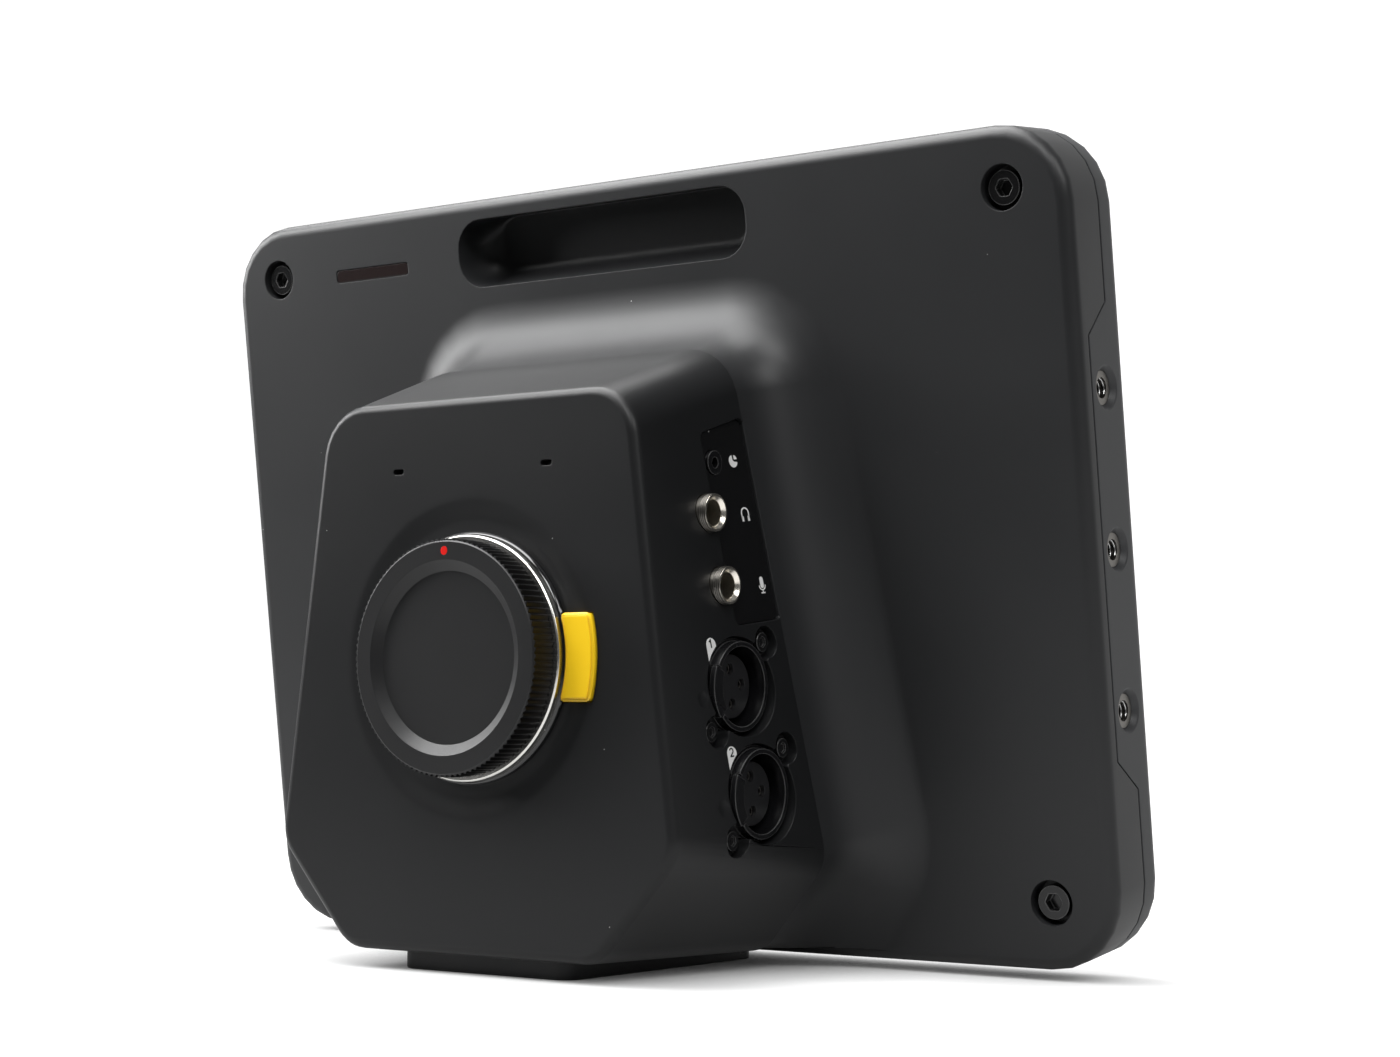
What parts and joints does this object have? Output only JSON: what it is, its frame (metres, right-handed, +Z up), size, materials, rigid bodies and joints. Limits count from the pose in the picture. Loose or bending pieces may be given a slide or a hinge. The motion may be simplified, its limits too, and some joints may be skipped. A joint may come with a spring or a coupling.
{
  "type": "studio camera",
  "caption": "Broadcast studio camera: a leaning screen panel with a tapered lens pod, a capped bayonet mount, side sound sockets and a threaded foot",
  "frame": {"origin": "middle of the bounding box's bottom, on the surface that the foot stands on", "axes": "X across the camera, -Y where the lens looks, Z up"},
  "size_m": [0.2766, 0.1128, 0.2089],
  "materials": {
    "shell": "fine matt spark-textured charcoal",
    "pod": "fine matt near-black",
    "cover": "fine matt charcoal",
    "keys": "soft matt",
    "glass": "glossy, dark when off",
    "display": "semi-matt",
    "chassis": "bare sheet",
    "board": "green solder mask",
    "battery": "shrink wrap",
    "tally": "tinted translucent",
    "black_steel": "black oxide",
    "brass_insert": "nickel plated",
    "flange": "satin",
    "black_ring": "glossy black anodised",
    "cap": "semi-matt black",
    "red_dot": "glossy",
    "button": "satin yellow-orange",
    "steel": "turned",
    "frame": "machined",
    "clear_glass": "polished",
    "sensor": "glossy",
    "gold": "gold plated",
    "black_plastic": "semi-gloss black",
    "nickel": "nickel plated"
  },
  "bodies": {
    "camera": {"front_shell": "shell", "rear_cover": "cover", "inner_chassis": "chassis", "screen_glass": "glass", "lcd_module": "display", "main_board": "board", "heat_sink": "frame", "battery_pack": "battery", "front_tally_lens": "tally", "front_tally_board": "board", "rear_tally_lens": "tally", "corner_screws": "black_steel", "side_inserts": "brass_insert", "key_boards": "board", "pod_shell": "pod", "pod_screws": "steel", "foot_block": "black_plastic", "foot_inserts": "brass_insert", "foot_screws": "steel", "mount_ring": "black_ring", "bayonet_flange": "flange", "flange_screws": "steel", "contact_block": "gold", "sensor_frame": "frame", "filter_glass": "clear_glass", "image_sensor": "sensor", "sensor_board": "board", "microphones": "steel", "sound_plate": "black_plastic", "remote_jack": "black_plastic", "headphone_jack": "nickel", "talkback_jack": "nickel", "xlr_1_shell": "black_plastic", "xlr_2_shell": "black_plastic", "xlr_1_insert": "black_plastic", "xlr_2_insert": "black_plastic", "xlr_contacts": "gold", "xlr_screws": "black_steel", "picture_plate": "black_plastic", "sdi_out_socket": "nickel", "sdi_in_socket": "nickel", "reference_socket": "nickel", "optical_cage": "nickel", "power_inlet": "black_plastic"},
    "cap": {"body_cap": "cap", "cap_index_dot": "red_dot"},
    "release": {"release_button": "button", "lock_pin": "steel"},
    "latch_1": {"xlr_1_latch": "black_plastic"},
    "latch_2": {"xlr_2_latch": "black_plastic"},
    "power_press_key": {"power_key": "keys"},
    "menu_press_key": {"menu_key": "keys"},
    "display_press_key": {"display_key": "keys"},
    "up_press_key": {"up_key": "keys"},
    "down_press_key": {"down_key": "keys"},
    "talk_press_key": {"talk_key": "keys"},
    "louder_press_key": {"louder_key": "keys"},
    "quieter_press_key": {"quieter_key": "keys"},
    "iris_press_key": {"iris_key": "keys"},
    "focus_press_key": {"focus_key": "keys"}
  },
  "joints": [
    {"name": "cap_pull", "type": "slide", "parent": "camera", "child": "cap", "axis": [0, -1, 0], "range_m": [0, 0.06]},
    {"name": "release_press", "type": "slide", "parent": "camera", "child": "release", "axis": [0, 1, 0], "range_m": [0, 0.0014], "stiffness_N_per_m": 800, "springref_m": -0.001},
    {"name": "latch_1_press", "type": "slide", "parent": "camera", "child": "latch_1", "axis": [-1, 0, 0], "range_m": [0, 0.001], "stiffness_N_per_m": 800, "springref_m": -0.001},
    {"name": "latch_2_press", "type": "slide", "parent": "camera", "child": "latch_2", "axis": [-1, 0, 0], "range_m": [0, 0.001], "stiffness_N_per_m": 800, "springref_m": -0.001},
    {"name": "power_press", "type": "slide", "parent": "camera", "child": "power_press_key", "axis": [0, -0.9907, -0.1357], "range_m": [0, 0.0006], "stiffness_N_per_m": 1500, "springref_m": -0.0005},
    {"name": "menu_press", "type": "slide", "parent": "camera", "child": "menu_press_key", "axis": [0, -0.9907, -0.1357], "range_m": [0, 0.0006], "stiffness_N_per_m": 1500, "springref_m": -0.0005},
    {"name": "display_press", "type": "slide", "parent": "camera", "child": "display_press_key", "axis": [0, -0.9907, -0.1357], "range_m": [0, 0.0006], "stiffness_N_per_m": 1500, "springref_m": -0.0005},
    {"name": "up_press", "type": "slide", "parent": "camera", "child": "up_press_key", "axis": [0, -0.9907, -0.1357], "range_m": [0, 0.0006], "stiffness_N_per_m": 1500, "springref_m": -0.0005},
    {"name": "down_press", "type": "slide", "parent": "camera", "child": "down_press_key", "axis": [0, -0.9907, -0.1357], "range_m": [0, 0.0006], "stiffness_N_per_m": 1500, "springref_m": -0.0005},
    {"name": "talk_press", "type": "slide", "parent": "camera", "child": "talk_press_key", "axis": [0, -0.9907, -0.1357], "range_m": [0, 0.0006], "stiffness_N_per_m": 1500, "springref_m": -0.0005},
    {"name": "louder_press", "type": "slide", "parent": "camera", "child": "louder_press_key", "axis": [0, -0.9907, -0.1357], "range_m": [0, 0.0006], "stiffness_N_per_m": 1500, "springref_m": -0.0005},
    {"name": "quieter_press", "type": "slide", "parent": "camera", "child": "quieter_press_key", "axis": [0, -0.9907, -0.1357], "range_m": [0, 0.0006], "stiffness_N_per_m": 1500, "springref_m": -0.0005},
    {"name": "iris_press", "type": "slide", "parent": "camera", "child": "iris_press_key", "axis": [0, -0.9907, -0.1357], "range_m": [0, 0.0006], "stiffness_N_per_m": 1500, "springref_m": -0.0005},
    {"name": "focus_press", "type": "slide", "parent": "camera", "child": "focus_press_key", "axis": [0, -0.9907, -0.1357], "range_m": [0, 0.0006], "stiffness_N_per_m": 1500, "springref_m": -0.0005}
  ]
}
